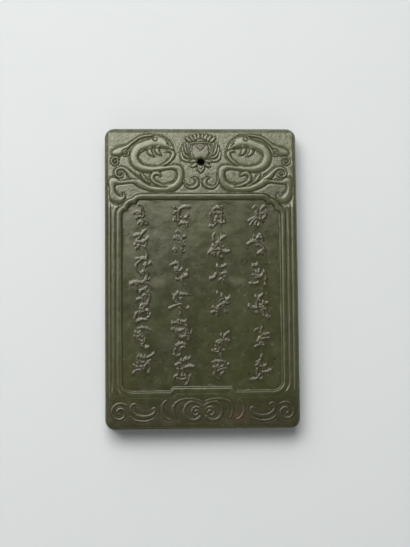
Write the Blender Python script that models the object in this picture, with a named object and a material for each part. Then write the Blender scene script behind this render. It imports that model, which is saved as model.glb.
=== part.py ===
"""Carved nephrite plaque pendant: one solid, lying on its back.

+Z points out of the carved front, +Y to the pendant's top edge, +X to the right.
The origin is under the middle of the plaque, on the surface that it lies on.
"""

import math

import bmesh
import bpy
from mathutils import Vector

# The plaque's blank
PLAQUE_WIDTH = 0.0390
PLAQUE_HEIGHT = 0.0610
PLAQUE_THICKNESS = 0.0060
CORNER_RADIUS = 0.0020
FRONT_EDGE_ROUND = 0.0007
BACK_EDGE_ROUND = 0.0005

# The panel that holds the inscription, and the bands above and below it
FRAME_WIDTH = 0.0033
DRAGON_BAND_HEIGHT = 0.01465
SCROLL_BAND_HEIGHT = 0.0074
PANEL_DEPTH = 0.00055
PANEL_WALL_SLOPE = 0.0002
PANEL_FOOT_RADIUS = 0.0021
PANEL_STEP_HALF_WIDTH = 0.0066
PANEL_STEP_HEIGHT = 0.0008
LOBE_RADIUS = 0.00125
BEAD_WIDTH = 0.00105
GROOVE_HALF_WIDTH = 0.00014
GROOVE_DEPTH = 0.00018
OUTER_GROOVE_INSET = 0.0013
GROOVE_GAP = 0.0004

# The sunk ground of the dragons: dished from the plaque's edges, steep against the bead
BAND_MARGIN = 0.0009
BAND_DEPTH = 0.0007
BAND_TOP_SLOPE = 0.0015
BAND_SIDE_SLOPE = 0.0010
BAND_BEAD_SLOPE = 0.0003
BAND_CORNER_RADIUS = 0.0009

# The scrolls' shallow ground, and how far all carving stays under the plaque's face
SCROLL_DEPTH = 0.00030
SCROLL_SLOPE = 0.0009
RELIEF_CLEARANCE = 0.00002
LOTUS_SHARE = 0.88

# A stroke's cross-section between its feet, as shares of its half width and its height.
# Its feet are sunk in the ground, and it is lower where it narrows to a tip.
RIBBON_SECTION = ((-0.45, 1.0), (0.45, 1.0))
ROUND_SECTION = ((-0.72, 0.72), (0.0, 1.0), (0.72, 0.72))
FOOT_SPREAD = 1.05
FOOT_DEPTH = 0.00015
TIP_RISE = 0.35
TIP_RUN = 0.0004

# The drilled hole for the cord, measured down from the top edge
HOLE_BORE = 0.0014
HOLE_DROP = 0.0071

# The plainer back
BACK_PANEL_DEPTH = 0.00035
BACK_VOLUTE_RADIUS = 0.0023
BACK_VOLUTE_SPREAD = 0.0062
BACK_LINE_GAP = 0.0008

# The carving is drawn on a grid of unit squares: 39 across the plaque, 14.65 down the
# dragons' band and 7.4 up the scrolls' band. Its own proportions are free form.
GRID_WIDTH = 39.0
GRID_TOP = 30.5
GRID_DRAGON_BAND = 14.65
GRID_SCROLL_BAND = 7.4

JADE_COLOUR = (0.24, 0.26, 0.18, 1.0)

HALF_WIDTH = PLAQUE_WIDTH / 2
HALF_HEIGHT = PLAQUE_HEIGHT / 2
PANEL_HALF_WIDTH = HALF_WIDTH - FRAME_WIDTH
PANEL_TOP = HALF_HEIGHT - DRAGON_BAND_HEIGHT
PANEL_BOTTOM = -HALF_HEIGHT + SCROLL_BAND_HEIGHT
DRAGON_RELIEF = BAND_DEPTH - RELIEF_CLEARANCE
LOTUS_RELIEF = DRAGON_RELIEF * LOTUS_SHARE
SCROLL_RELIEF = SCROLL_DEPTH - RELIEF_CLEARANCE
CUT_OVERSHOOT = 0.0002


def clear_scene():
    for item in list(bpy.data.objects):
        bpy.data.objects.remove(item, do_unlink=True)


def arc(centre, radius, start, end, steps):
    """Points along an arc, its angles in degrees."""
    points = []
    for step in range(steps + 1):
        angle = math.radians(start + (end - start) * step / steps)
        points.append((centre[0] + radius * math.cos(angle), centre[1] + radius * math.sin(angle)))
    return points


def mirrored_outline(right_half):
    """The whole outline from its right half, which runs from the lower to the upper middle."""
    left_half = [(-x, y) for x, y in reversed(right_half)]
    return right_half + left_half


# Drawing on the grid

def dragon_place(u, v):
    """A grid point of the dragons' band, on the plaque."""
    drop = (GRID_TOP - v) * DRAGON_BAND_HEIGHT / GRID_DRAGON_BAND
    return u * PLAQUE_WIDTH / GRID_WIDTH, HALF_HEIGHT - drop


def scroll_place(u, v):
    """A grid point of the scrolls' band, on the plaque."""
    rise = (v + GRID_TOP) * SCROLL_BAND_HEIGHT / GRID_SCROLL_BAND
    return u * PLAQUE_WIDTH / GRID_WIDTH, -HALF_HEIGHT + rise


def coil(u, v, radii, angles, half_width):
    """Stations along a coil, one for each 40 degrees or so, its radius changing evenly."""
    steps = max(2, round(abs(angles[1] - angles[0]) / 40))
    stations = []
    for step in range(steps + 1):
        share = step / steps
        angle = math.radians(angles[0] + (angles[1] - angles[0]) * share)
        radius = radii[0] + (radii[1] - radii[0]) * share
        stations.append((u + radius * math.cos(angle), v + radius * math.sin(angle), half_width))
    return stations


def smooth(stations, steps):
    """A smooth run through hand-placed stations, as a Catmull-Rom curve."""
    run = []
    padded = [stations[0]] + list(stations) + [stations[-1]]
    for before, start, end, after in zip(padded, padded[1:], padded[2:], padded[3:]):
        for step in range(steps):
            t = step / steps
            run.append(tuple(
                0.5 * (2 * b + (c - a) * t + (2 * a - 5 * b + 4 * c - d) * t * t
                       + (3 * b - a - 3 * c + d) * t ** 3)
                for a, b, c, d in zip(before, start, end, after)))
    run.append(tuple(stations[-1]))
    return run


# Solids

def new_object(name, bm, collection):
    bmesh.ops.recalc_face_normals(bm, faces=bm.faces)
    mesh = bpy.data.meshes.new(name)
    bm.to_mesh(mesh)
    bm.free()
    item = bpy.data.objects.new(name, mesh)
    collection.objects.link(item)
    return item


def tool_collection(name):
    collection = bpy.data.collections.new(name)
    bpy.context.scene.collection.children.link(collection)
    return collection


def as_tool(item):
    item.hide_render = True
    item.display_type = 'WIRE'
    return item


def swept_solid(name, rings, collection):
    """One face grown from ring to ring into a closed solid."""
    bm = bmesh.new()
    start_cap = face = bm.faces.new([bm.verts.new(point) for point in rings[0]])
    for ring in rings[1:]:
        grown = bmesh.ops.extrude_face_region(bm, geom=[face])
        if face is not start_cap:
            bm.faces.remove(face)
        face = next(part for part in grown["geom"] if isinstance(part, bmesh.types.BMFace))
        for vert, point in zip(face.verts, ring):
            vert.co = point
    return as_tool(new_object(name, bm, collection))


def directions(run):
    """The unit direction of travel at each station of a run."""
    found = []
    for index in range(len(run)):
        before = Vector(run[max(index - 1, 0)][:2])
        after = Vector(run[min(index + 1, len(run) - 1)][:2])
        found.append((after - before).normalized())
    return found


def stroke(name, stations, ground, height, collection, steps=2, full=False):
    """A raised stroke of the carving along its stations: a round one, or a flatter ribbon."""
    run = smooth(stations, steps)
    shape = ROUND_SECTION if full else RIBBON_SECTION
    rings = []
    for (x, y, half_width), along in zip(run, directions(run)):
        across = Vector((-along.y, along.x))
        crest = height * min(1.0, TIP_RISE + half_width / TIP_RUN)
        section = [(-FOOT_SPREAD, -FOOT_DEPTH)]
        section += [(share, rise * crest) for share, rise in shape]
        section.append((FOOT_SPREAD, -FOOT_DEPTH))
        ring = []
        for share, rise in section:
            place = Vector((x, y)) + across * share * half_width
            ring.append((place.x, place.y, ground + rise))
        rings.append(ring)
    return swept_solid(name, rings, collection)


def groove(name, path, surface, outward, collection):
    """A V-shaped groove along a path, cut into a face that looks outward (+1 up, -1 down)."""
    flare = GROOVE_HALF_WIDTH * (1 + CUT_OVERSHOOT / GROOVE_DEPTH)
    rings = []
    for (x, y), along in zip(path, directions(path)):
        across = Vector((-along.y, along.x)) * flare
        rings.append([(x - across.x, y - across.y, surface + outward * CUT_OVERSHOOT),
                      (x, y, surface - outward * GROOVE_DEPTH),
                      (x + across.x, y + across.y, surface + outward * CUT_OVERSHOOT)])
    return swept_solid(name, rings, collection)


def sunk_field(name, rim, floor, surface, outward, depth, collection):
    """A cutter for a sunk field: a straight collar over its rim, then walls down to its floor."""
    levels = ((rim, CUT_OVERSHOOT), (rim, 0), (floor, -depth))
    rings = [[(x, y, surface + outward * rise) for x, y in outline] for outline, rise in levels]
    return swept_solid(name, rings, collection)


# The blank

def rounded_rectangle(half_width, half_height, radius, steps):
    right = arc((half_width - radius, radius - half_height), radius, -90, 0, steps)
    right += arc((half_width - radius, half_height - radius), radius, 0, 90, steps)
    return mirrored_outline(right)


def make_blank(name):
    bm = bmesh.new()
    outline = rounded_rectangle(HALF_WIDTH, HALF_HEIGHT, CORNER_RADIUS, 5)
    face = bm.faces.new([bm.verts.new((x, y, 0)) for x, y in outline])
    grown = bmesh.ops.extrude_face_region(bm, geom=[face])
    top_face = next(part for part in grown["geom"] if isinstance(part, bmesh.types.BMFace))
    for vert in top_face.verts:
        vert.co.z = PLAQUE_THICKNESS
    bmesh.ops.bevel(bm, geom=list(top_face.edges), offset=FRONT_EDGE_ROUND, segments=3,
                    profile=0.5, affect='EDGES', clamp_overlap=True)
    bottom_edges = [edge for edge in bm.edges if all(vert.co.z == 0 for vert in edge.verts)]
    bmesh.ops.bevel(bm, geom=bottom_edges, offset=BACK_EDGE_ROUND, segments=2,
                    profile=0.5, affect='EDGES', clamp_overlap=True)
    return new_object(name, bm, bpy.context.scene.collection)


# The panel's cusped outline

def lobe_centres():
    """The three lobes of the panel's upper right corner, from the side to the top."""
    steps_in = ((1.0, 2.75), (1.95, 1.7), (3.2, 1.0))
    return [(PANEL_HALF_WIDTH - across * LOBE_RADIUS, PANEL_TOP - down * LOBE_RADIUS)
            for across, down in steps_in]


def cusp_angles(first, second, radius):
    """The angles, seen from two lobes of one radius, of the cusp where they cross."""
    gap = Vector(second) - Vector(first)
    half = gap.length / 2
    outward = Vector((gap.y, -gap.x)).normalized()
    cusp = (Vector(first) + Vector(second)) / 2 + outward * math.sqrt(radius ** 2 - half ** 2)
    return [math.degrees(math.atan2(cusp.y - centre[1], cusp.x - centre[0]))
            for centre in (first, second)]


def lobed_corner(offset):
    """Points up the corner's lobes, offset outward, as one run for each lobe."""
    side, middle, top = lobe_centres()
    radius = LOBE_RADIUS + offset
    leave_side, enter_middle = cusp_angles(side, middle, radius)
    leave_middle, enter_top = cusp_angles(middle, top, radius)
    return [arc(side, radius, 0, leave_side, 4),
            arc(middle, radius, enter_middle, leave_middle, 4)[1:],
            arc(top, radius, enter_top, 90, 3)[1:]]


def panel_foot(inset):
    """The panel's rounded lower right corner."""
    centre = (PANEL_HALF_WIDTH - PANEL_FOOT_RADIUS, PANEL_BOTTOM + PANEL_FOOT_RADIUS)
    return arc(centre, PANEL_FOOT_RADIUS - inset, -90, 0, 4)


def panel_outline(inset):
    """The inscription's panel, with the small step in the middle of its foot."""
    bottom = PANEL_BOTTOM + inset
    step = [(PANEL_STEP_HALF_WIDTH - PANEL_STEP_HEIGHT, bottom + PANEL_STEP_HEIGHT),
            (PANEL_STEP_HALF_WIDTH, bottom)]
    return mirrored_outline(step + panel_foot(inset) + sum(lobed_corner(-inset), []))


def back_panel_outline(inset):
    return mirrored_outline(panel_foot(inset) + sum(lobed_corner(-inset), []))


def dragon_ground_outline(top_inset, side_inset, bead_inset):
    """The dragons' ground: above the panel's bead, inside the margin of the other edges."""
    side_run, middle_run, top_run = lobed_corner(BEAD_WIDTH + bead_inset)
    bead_run = list(reversed([side_run[-1]] + middle_run + top_run))
    floor = side_run[-1][1]
    edge = HALF_WIDTH - BAND_MARGIN - side_inset
    ceiling = HALF_HEIGHT - BAND_MARGIN - top_inset
    radius = BAND_CORNER_RADIUS
    lower_corner = arc((edge - radius, floor + radius), radius, -90, 0, 3)
    upper_corner = arc((edge - radius, ceiling - radius), radius, 0, 90, 3)
    return mirrored_outline(bead_run + lower_corner + upper_corner)


def scroll_ground_outline(inset):
    """The lower band's ground, between the groove under the panel and the plaque's foot."""
    edge = HALF_WIDTH - BAND_MARGIN - inset
    low = -HALF_HEIGHT + BAND_MARGIN + inset
    high = PANEL_BOTTOM - BEAD_WIDTH - GROOVE_HALF_WIDTH - inset / 2
    radius = BAND_CORNER_RADIUS
    lower_corner = arc((edge - radius, low + radius), radius, -90, 0, 3)
    upper_corner = arc((edge - radius, high - radius), radius, 0, 90, 3)
    return mirrored_outline(lower_corner + upper_corner)


# The strokes of the carving, right half only: (u, v, half width) at each station

def dragon_strokes():
    body = [(6.2, 26.75, .35), (6.75, 27.5, .78), (7.7, 27.9, 1.05), (9.4, 27.4, 1.0),
            (11.1, 27.0, 1.12), (12.7, 26.2, 1.15), (13.55, 24.75, .92), (13.2, 23.2, .95),
            (12.0, 22.2, .85), (10.3, 21.85, .75), (8.6, 21.95, .6), (7.0, 22.15, .36),
            (5.7, 22.35, .5), (4.5, 21.95, .78), (4.15, 20.8, .75), (4.4, 19.45, .82),
            (5.45, 18.35, .85), (7.0, 17.95, .85), (8.6, 17.75, .65), (10.2, 17.95, .58),
            (11.7, 18.6, .75), (13.0, 19.35, .88), (14.1, 20.05, .85), (14.9, 20.5, .5), (15.5, 20.7, .2)]
    jaw = [(9.2, 22.25, .15), (8.2, 22.45, .22), (7.2, 22.95, .27), (6.35, 23.6, .34),
           (5.75, 24.45, .45), (5.62, 25.1, .46), (6.05, 25.6, .34), (6.7, 25.5, .14)]
    horn = [(8.3, 28.6, .2), (9.5, 28.85, .25), (11.0, 28.78, .28), (12.4, 28.42, .3),
            (13.6, 27.6, .32), (14.5, 26.8, .34), (15.4, 26.35, .34), (16.3, 26.1, .45),
            (17.1, 25.7, .58), (17.25, 25.05, .42), (16.75, 24.7, .2)]
    ear_curl = [(16.5, 24.45, .16)] + coil(15.2, 25.15, (.85, .5), (-60, -380), .2)
    cheek_coil = [(16.9, 24.6, .16)] + coil(17.5, 23.4, (.95, .62), (72, -228), .2)
    tail_curl = [(13.4, 20.45, .2), (14.4, 21.0, .28)]
    tail_curl += coil(16.1, 20.85, (.85, .45), (125, -170), .25)
    tail_sweep = [(13.6, 19.4, .4), (14.4, 19.55, .5), (15.2, 19.35, .46), (16.0, 19.1, .36),
                  (16.8, 19.05, .4), (17.4, 19.2, .5), (17.8, 19.4, .3)]
    tail_hook = [(17.7, 20.0, .25), (17.7, 19.3, .7), (17.75, 18.6, .66), (17.85, 17.9, .46),
                 (17.9, 17.2, .46), (17.85, 16.6, .5), (17.6, 15.95, .64), (17.0, 15.4, .64),
                 (16.3, 15.3, .58), (15.75, 15.65, .42), (15.62, 16.25, .25), (15.8, 16.8, .1)]
    belly_scroll = [(6.6, 18.35, .1), (7.8, 18.5, .2), (8.8, 18.8, .22), (9.6, 19.3, .26),
                    (10.0, 20.0, .32), (9.8, 20.7, .34), (9.1, 21.0, .3), (8.4, 20.75, .16)]
    leaf = [(11.6, 20.2, .2), (11.4, 19.85, .3), (11.0, 19.3, .22), (10.3, 18.8, .1)]
    leg = [(3.7, 21.2, .12), (3.5, 20.0, .18), (3.15, 18.7, .26), (2.4, 17.95, .36),
           (1.65, 17.95, .42), (1.05, 18.4, .44), (.82, 19.1, .4), (1.15, 19.65, .24), (1.8, 19.7, .08)]
    front_lock = [(8.6, 26.8, .15), (8.95, 26.1, .36), (8.8, 25.4, .36), (8.0, 24.7, .06)]
    rear_lock = [(9.9, 26.6, .15), (10.3, 26.0, .36), (10.15, 25.3, .34), (9.3, 24.5, .06)]
    return [
        ("body", body, 1.0, True), ("jaw", jaw, .9, False), ("horn", horn, .88, False),
        ("ear_curl", ear_curl, .72, False), ("cheek_coil", cheek_coil, .7, False),
        ("tail_curl", tail_curl, .94, False), ("tail_sweep", tail_sweep, .8, False),
        ("tail_hook", tail_hook, .8, True), ("belly_scroll", belly_scroll, .88, False),
        ("leaf", leaf, .8, False), ("leg", leg, .86, False),
        ("front_lock", front_lock, .68, False), ("rear_lock", rear_lock, .68, False),
    ]


def lotus_strokes():
    """Half of the lotus: a fan of petals over a ringed bud, wings beside it, a bloom below."""
    strokes = []
    for index in range(4):
        angle = math.radians(83 - 12.3 * index)
        root, tip = 2.1 + .165 * index, 3.62 + .15 * index
        petal = []
        for share, half_width in ((0, .16), (.55, .29), (1, .17)):
            radius = root + (tip - root) * share
            petal.append((radius * math.cos(angle), 25.4 + radius * math.sin(angle), half_width))
        strokes.append((f"fan_petal_{index}", petal, .9))
    strokes += [
        ("upper_wing", [(2.1, 24.7, .12), (2.8, 25.3, .28), (3.2, 26.1, .36), (3.25, 27.1, .2)], .82),
        ("middle_wing", [(1.9, 24.2, .12), (2.9, 24.45, .28), (3.6, 25.2, .34), (3.75, 26.6, .12)], .82),
        ("lower_wing", [(1.6, 23.7, .14), (2.8, 23.6, .3), (3.7, 24.1, .34), (4.05, 25.5, .1)], .8),
        ("upper_bloom", [(.85, 23.5, .2), (1.35, 23.35, .32), (1.8, 23.25, .22)], .85),
        ("lower_bloom", [(.7, 22.95, .2), (1.1, 22.75, .28), (1.5, 22.5, .2)], .85),
    ]
    return strokes


def scroll_strokes():
    """Half of the lower band: coiled clouds, from the middle out to the corner."""
    return [
        ("inner_coil", coil(1.45, -27.1, (1.1, .2), (150, -300), .2)),
        ("cloud_ring", coil(1.95, -26.95, (1.85, 1.8), (145, -140), .34)),
        ("cloud_hood", [(.3, -25.1, .14), (1.1, -24.75, .22), (2.4, -24.58, .24), (3.9, -24.65, .26),
                        (5.2, -25.15, .3), (5.9, -26.1, .33), (5.85, -27.3, .31), (5.4, -28.35, .17)]),
        ("cloud_shoulder", [(7.2, -24.7, .1), (7.8, -25.2, .26), (8.15, -26.1, .3), (8.1, -27.2, .3),
                            (7.5, -28.2, .28), (6.6, -28.6, .14)]),
        ("smile", [(10.25, -26.5, .12), (9.8, -26.25, .2), (9.55, -26.75, .26), (10.1, -27.55, .32),
                   (11.6, -28.0, .37), (13.1, -27.75, .35), (14.2, -26.9, .28), (14.35, -25.9, .25),
                   (13.75, -25.4, .22), (13.2, -25.75, .14)]),
        ("chin", [(9.9, -28.4, .1), (11.6, -28.9, .17), (13.5, -28.65, .17), (14.7, -27.8, .09)]),
        ("corner_coil", coil(16.6, -27.15, (1.95, .35), (128, -420), .23)),
    ]


def placed(stations, place, side):
    """Grid stations on the plaque, on its right (+1) or left (-1) half."""
    scale = PLAQUE_WIDTH / GRID_WIDTH
    found = []
    for u, v, half_width in stations:
        x, y = place(side * u, v)
        found.append((x, y, half_width * scale))
    return found


def carve_dragons(collection):
    ground = PLAQUE_THICKNESS - BAND_DEPTH
    for side, hand in ((1, "right"), (-1, "left")):
        for name, stations, share, full in dragon_strokes():
            stroke(f"{name}_{hand}", placed(stations, dragon_place, side), ground,
                   DRAGON_RELIEF * share, collection, full=full)
        eye = [(8.85, 28.1, .16), (9.2, 28.12, .3), (9.55, 28.1, .16)]
        stroke(f"eye_{hand}", placed(eye, dragon_place, side), ground, DRAGON_RELIEF, collection,
               steps=1)


def carve_lotus(collection):
    ground = PLAQUE_THICKNESS - BAND_DEPTH
    for side, hand in ((1, "right"), (-1, "left")):
        for name, stations, share in lotus_strokes():
            stroke(f"{name}_{hand}", placed(stations, dragon_place, side), ground,
                   LOTUS_RELIEF * share, collection, steps=1)
    bud = [(0, 24.3, .9), (0, 24.9, 1.5), (0, 25.8, 1.75), (0, 26.8, 1.3)]
    stroke("bud", placed(bud, dragon_place, 1), ground, LOTUS_RELIEF * .62, collection,
           steps=1, full=True)
    rim_half = [(0, 27.33, .2), (1.3, 27.3, .2), (2.1, 27.05, .18), (2.38, 26.2, .17),
                (2.25, 25.2, .15), (1.6, 24.4, .1)]
    rim = [(-u, v, half_width) for u, v, half_width in reversed(rim_half[1:])] + rim_half
    stroke("bud_rim", placed(rim, dragon_place, 1), ground, LOTUS_RELIEF, collection, steps=2)
    vee = [(-1.7, 26.8, .1), (-.9, 26.15, .14), (0, 25.35, .14), (.9, 26.15, .14), (1.7, 26.8, .1)]
    stroke("bud_vee", placed(vee, dragon_place, 1), ground, LOTUS_RELIEF, collection, steps=1)
    lowest = [(0, 22.6, .3), (0, 22.15, .6), (0, 21.6, .62), (0, 21.2, .3)]
    stroke("lowest_bloom", placed(lowest, dragon_place, 1), ground, LOTUS_RELIEF * .85, collection,
           steps=1, full=True)


def sink_front_fields(collection):
    """The sunk fields of the front: the dragons' ground, the panel and the scrolls' ground."""
    rim = dragon_ground_outline(0, 0, 0)
    floor = dragon_ground_outline(BAND_TOP_SLOPE, BAND_SIDE_SLOPE, BAND_BEAD_SLOPE)
    sunk_field("dragon_ground", rim, floor, PLAQUE_THICKNESS, 1, BAND_DEPTH, collection)
    sunk_field("panel", panel_outline(0), panel_outline(PANEL_WALL_SLOPE), PLAQUE_THICKNESS, 1,
               PANEL_DEPTH, collection)
    sunk_field("scroll_ground", scroll_ground_outline(0), scroll_ground_outline(SCROLL_SLOPE),
               PLAQUE_THICKNESS, 1, SCROLL_DEPTH, collection)


def carve_scrolls(collection):
    ground = PLAQUE_THICKNESS - SCROLL_DEPTH
    for side, hand in ((1, "right"), (-1, "left")):
        for name, stations in scroll_strokes():
            stroke(f"{name}_{hand}", placed(stations, scroll_place, side), ground, SCROLL_RELIEF, collection,
                   steps=1 if "coil" in name or name == "cloud_ring" else 2)


def cut_frame_grooves(collection):
    """The frame's grooves: one that runs round the panel's foot, one more down each side."""
    top = lobed_corner(BEAD_WIDTH)[0][-1][1] - GROOVE_GAP
    right = panel_foot(-BEAD_WIDTH) + [(PANEL_HALF_WIDTH + BEAD_WIDTH, top)]
    left = [(-x, y) for x, y in reversed(right)]
    groove("inner_groove", left + right, PLAQUE_THICKNESS, 1, collection)
    for side, hand in ((1, "right"), (-1, "left")):
        x = side * (HALF_WIDTH - OUTER_GROOVE_INSET)
        groove(f"outer_groove_{hand}", [(x, top), (x, PANEL_BOTTOM)], PLAQUE_THICKNESS, 1,
               collection)


def cut_back(collection):
    """The back: the same panel, left plain and shallow, and a pair of volutes by the hole."""
    sunk_field("back_panel", back_panel_outline(0), back_panel_outline(PANEL_WALL_SLOPE), 0, -1,
               BACK_PANEL_DEPTH, collection)
    centre_y = HALF_HEIGHT - HOLE_DROP
    for side, hand in ((1, "right"), (-1, "left")):
        turns = smooth(coil(0, 0, (1.0, .25), (200, -280), 0), 2)
        volute = [(side * (BACK_VOLUTE_SPREAD + BACK_VOLUTE_RADIUS * u),
                   centre_y + BACK_VOLUTE_RADIUS * v) for u, v, _ in turns]
        groove(f"back_volute_{hand}", volute, 0, -1, collection)
        run_out = [(side * (BACK_VOLUTE_SPREAD + BACK_VOLUTE_RADIUS + BACK_LINE_GAP), centre_y),
                   (side * (PANEL_HALF_WIDTH - LOBE_RADIUS), centre_y)]
        groove(f"back_line_{hand}", run_out, 0, -1, collection)


def drill_hole(collection):
    bm = bmesh.new()
    bmesh.ops.create_cone(bm, cap_ends=True, segments=14, radius1=HOLE_BORE / 2,
                          radius2=HOLE_BORE / 2, depth=PLAQUE_THICKNESS * 2)
    drill = as_tool(new_object("cord_drill", bm, collection))
    drill.location = (0, HALF_HEIGHT - HOLE_DROP, PLAQUE_THICKNESS / 2)


def apply_tools(item, collection, operation):
    modifier = item.modifiers.new(collection.name, 'BOOLEAN')
    modifier.operation = operation
    modifier.solver = 'EXACT'
    modifier.operand_type = 'COLLECTION'
    modifier.collection = collection


def jade_material():
    material = bpy.data.materials.new("jade")
    material.use_nodes = True
    shader = material.node_tree.nodes["Principled BSDF"]
    shader.inputs["Base Color"].default_value = JADE_COLOUR
    shader.inputs["Roughness"].default_value = 0.35
    shader.inputs["Metallic"].default_value = 0.0
    return material


def main():
    clear_scene()
    plaque = make_blank("plaque")
    plaque.data.materials.append(jade_material())

    sinking = tool_collection("sunk_fields")
    sink_front_fields(sinking)
    cut_frame_grooves(sinking)
    cut_back(sinking)
    apply_tools(plaque, sinking, 'DIFFERENCE')

    relief = tool_collection("relief")
    carve_dragons(relief)
    carve_lotus(relief)
    carve_scrolls(relief)
    apply_tools(plaque, relief, 'UNION')

    drilling = tool_collection("drilling")
    drill_hole(drilling)
    apply_tools(plaque, drilling, 'DIFFERENCE')


main()
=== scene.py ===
import math
import bmesh
import bpy
import numpy as np
from mathutils import Matrix, Vector


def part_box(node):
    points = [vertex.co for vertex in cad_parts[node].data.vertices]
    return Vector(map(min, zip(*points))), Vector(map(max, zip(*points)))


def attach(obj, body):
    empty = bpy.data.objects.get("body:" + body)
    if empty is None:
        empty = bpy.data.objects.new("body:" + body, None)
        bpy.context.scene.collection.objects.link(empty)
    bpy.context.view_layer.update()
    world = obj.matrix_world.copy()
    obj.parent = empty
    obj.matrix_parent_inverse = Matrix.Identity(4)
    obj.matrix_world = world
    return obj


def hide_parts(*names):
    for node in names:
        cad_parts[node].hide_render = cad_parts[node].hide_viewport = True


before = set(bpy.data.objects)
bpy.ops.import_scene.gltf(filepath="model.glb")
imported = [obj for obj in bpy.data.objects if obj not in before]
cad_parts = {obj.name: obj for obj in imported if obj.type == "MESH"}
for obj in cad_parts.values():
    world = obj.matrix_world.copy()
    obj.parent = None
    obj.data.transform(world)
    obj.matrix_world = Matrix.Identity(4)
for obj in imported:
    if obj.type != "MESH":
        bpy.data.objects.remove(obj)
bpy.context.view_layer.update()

# All carving is worked out in millimetres on the plaque's face, then put in metres.
# x runs to the right, y to the pendant's top, and heights are measured from the face.
mm = 0.001

plaque = {
    "cornerRadius": 2.0,
    "frontRound": 0.7,
    "backRound": 0.5,
    "cell": 0.105,            # spacing of the carver's grid
    "panelCell": 0.125,       # coarser down the panel, which is nearly flat
    "holeBore": 1.4,
    "holeAt": 23.4,
    "holeChamfer": 0.18,
    "topEase": 1.05, "topSlope": 0.55,      # how far in the worn top edge starts, and its slope
    "sideEase": 0.8, "sideSlope": 0.5,
    "unevenness": 0.012,      # the slight waves that hand polishing leaves
    "mostTriangles": 188000,
}

low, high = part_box("plaque")
width = (high[0] - low[0]) / mm
height = (high[1] - low[1]) / mm
thickness = (high[2] - low[2]) / mm

panel = {
    "halfWidth": 16.2, "top": 15.85, "bottom": -23.1,
    "depth": 0.38, "wall": 0.14,
    "footRadius": 2.1, "stepHalfWidth": 6.6, "stepHeight": 0.8,
    "lobeRadius": 1.25,
    "lobes": ((1.0, 2.75), (1.95, 1.7), (3.2, 1.0)),   # in lobe radii, from the side to the top
    "bead": 1.05, "beadDrop": 0.05,
    "grooveDepth": 0.12, "grooveWidth": 0.12, "outerGroove": 1.3,
}

ground = {
    "depth": 0.3, "moat": 0.16, "camber": 0.45, "beadSlope": 0.3,
    "friezeDepth": 0.03, "friezeMoat": 0.022, "friezeSlope": 0.8,
    "clearance": 0.02,
    "pocketFloor": 14.35,     # where the dragons' ground ends beside the panel's corners
}

# The strokes of the dragons, right half: (x, y, half width) at each station,
# the share of the full height, and how far from its root a stroke grows out of its neighbour
dragonStrokes = (
    ("rearLock", 1.1, 0.3, ((10.05, 26.4, .2), (10.4, 25.8, .55), (10.2, 25.15, .45),
                             (9.35, 24.45, .08))),
    ("frontLock", 1.1, 0.3, ((8.5, 26.6, .2), (8.85, 26.0, .55), (8.7, 25.35, .45),
                              (7.95, 24.7, .08))),
    ("horn", 1.0, 0.6, ((8.9, 28.35, .2), (9.6, 28.8, .26), (11.0, 28.78, .28),
                         (12.4, 28.42, .3), (13.6, 27.6, .33), (14.4, 26.95, .36),
                         (15.1, 26.35, .6), (15.9, 25.85, .9), (16.7, 25.5, 1.0),
                         (17.4, 25.3, .72))),
    ("jaw", 1.0, 0.4, ((9.2, 22.25, .15), (8.2, 22.45, .24), (7.2, 22.95, .3), (6.35, 23.6, .38),
                       (5.75, 24.45, .47), (5.6, 25.1, .5), (6.0, 25.65, .42), (6.65, 25.7, .26),
                       (7.0, 25.35, .1))),
    ("body", 1.0, 0.0, ((5.7, 26.1, .3), (6.3, 26.65, .72), (7.3, 27.2, 1.12), (8.5, 27.6, 1.35),
                        (9.7, 27.4, 1.15), (11.1, 26.95, 1.08), (12.7, 26.2, 1.12),
                        (13.55, 24.75, .95), (13.2, 23.2, .98), (12.0, 22.2, .88),
                        (10.3, 21.85, .78), (8.6, 21.95, .62), (7.0, 22.15, .42), (5.7, 22.3, .52),
                        (4.5, 21.95, .78), (4.15, 20.8, .78), (4.4, 19.45, .85),
                        (5.45, 18.35, .88), (7.0, 17.95, .88), (8.6, 17.75, .68),
                        (10.2, 17.95, .62), (11.7, 18.6, .78), (12.8, 19.3, .86),
                        (13.8, 20.2, .76), (14.6, 21.1, .56), (15.3, 21.8, .43),
                        (16.1, 22.1, .37), (16.95, 21.85, .35), (17.3, 21.1, .31),
                        (17.05, 20.45, .28), (16.45, 20.25, .25), (15.95, 20.45, .22),
                        (15.8, 20.9, .15))),
    ("tailHook", 0.94, 1.5, ((12.7, 19.0, .45), (13.7, 19.35, .42), (14.7, 19.35, .36),
                             (15.8, 19.2, .36), (16.6, 19.2, .42), (17.25, 19.35, .74),
                             (17.85, 19.3, .95), (18.0, 18.5, .7), (17.95, 17.7, .56),
                             (17.85, 16.9, .74), (17.45, 16.1, 1.0), (16.7, 15.65, .92),
                             (16.0, 15.8, .58), (15.6, 16.3, .3), (15.75, 16.85, .1))),
    ("leg", 1.0, 0.6, ((3.6, 20.2, .12), (3.4, 19.1, .17), (2.95, 18.4, .22), (2.3, 18.1, .31),
                       (1.4, 18.25, .44), (.78, 18.8, .49), (.78, 19.45, .42), (1.15, 19.92, .27),
                       (1.75, 20.0, .08))),
    ("bellyScroll", 0.98, 0.5, ((6.6, 18.35, .1), (7.8, 18.5, .28), (8.8, 18.85, .36),
                                (9.6, 19.35, .42), (9.95, 20.05, .47), (9.7, 20.75, .47),
                                (9.05, 21.05, .42), (8.4, 20.85, .34), (8.15, 20.4, .14))),
    ("leaf", 1.1, 0.0, ((11.95, 20.85, .25), (11.6, 20.15, .45), (11.1, 19.5, .34),
                        (10.3, 18.95, .12))),
)

# Coils: their middle, outer and inner radius, angles, half width and share of the height
dragonCoils = (
    ("earCurl", (15.2, 25.25), (.62, .4), (-60, -380), .19, 0.9),
    ("cheekCoil", (17.35, 23.45), (.9, .5), (135, -215), .23, 0.95),
)

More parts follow.
